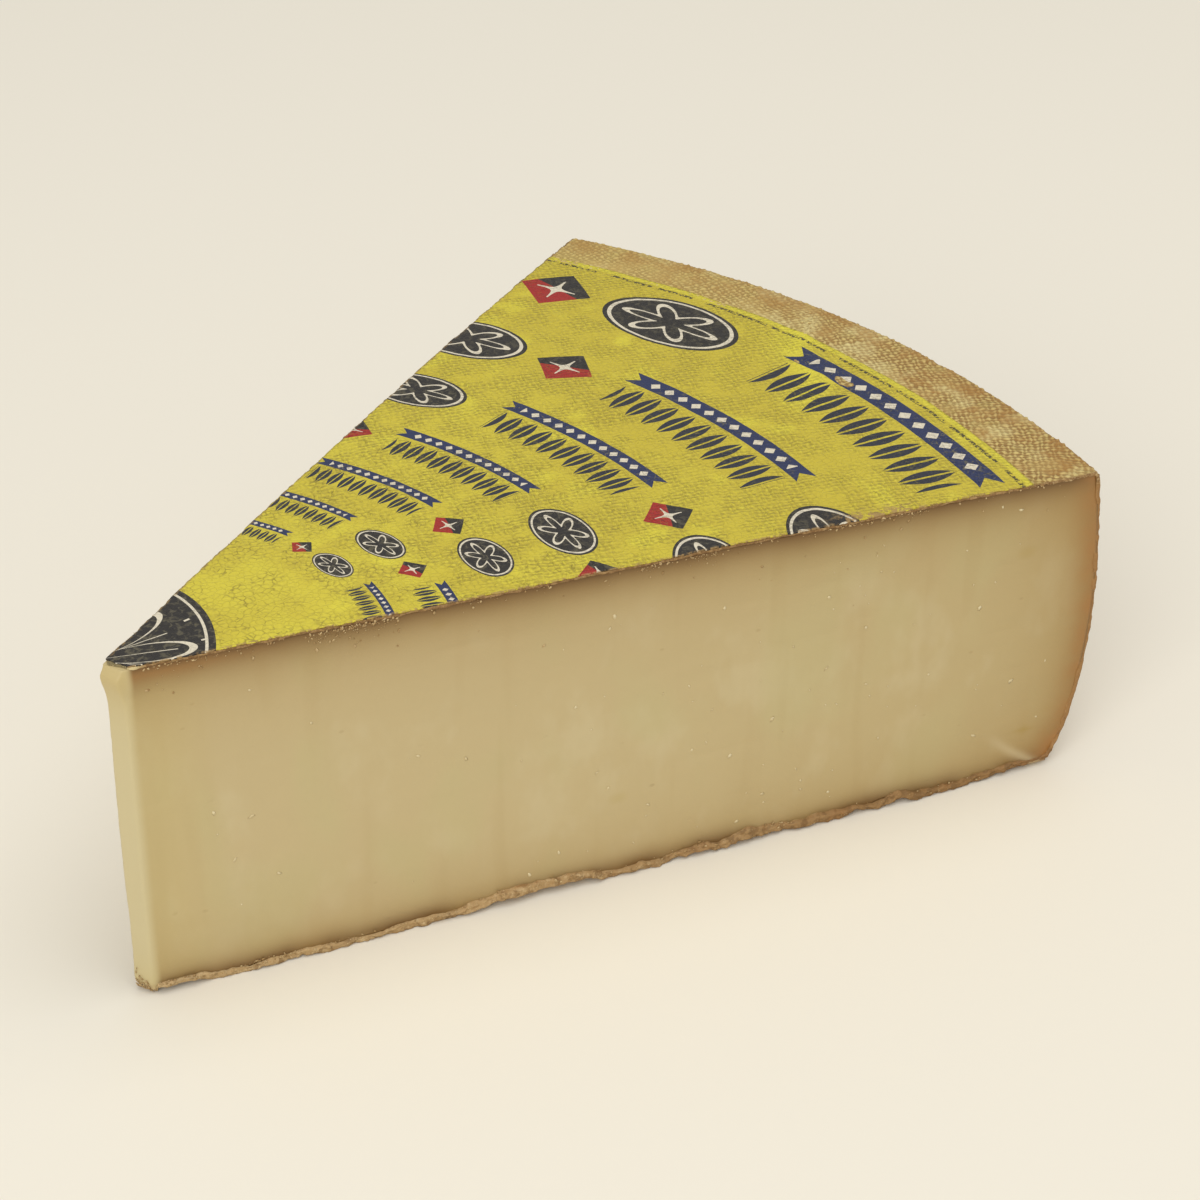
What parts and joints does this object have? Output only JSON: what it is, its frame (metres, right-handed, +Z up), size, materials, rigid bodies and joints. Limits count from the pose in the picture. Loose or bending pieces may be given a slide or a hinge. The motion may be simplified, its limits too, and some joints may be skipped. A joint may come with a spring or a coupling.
{
  "type": "gruyere cheese wedge",
  "caption": "Wedge of hard cooked cheese with two long cut faces, a blunted tip, a bulging rind heel, a wavy rind lip underneath and a printed paper label on its upper face.",
  "frame": {"origin": "middle of the wedge's flat underside, at the centre of its bounding box", "axes": "+X along the line that halves the wedge, from its tip to its heel, +Z up through the printed face, +Y to the cut on the left when looking from the tip to the heel"},
  "size_m": [0.2969, 0.222, 0.1086],
  "materials": {
    "cheese": "cut cheese paste, straw beige, browner towards a dry tan rind",
    "label_paper": "yellow printed paper, dull and creased"
  },
  "bodies": {
    "root": {"cheese": "cheese", "label": "label_paper"}
  },
  "joints": []
}
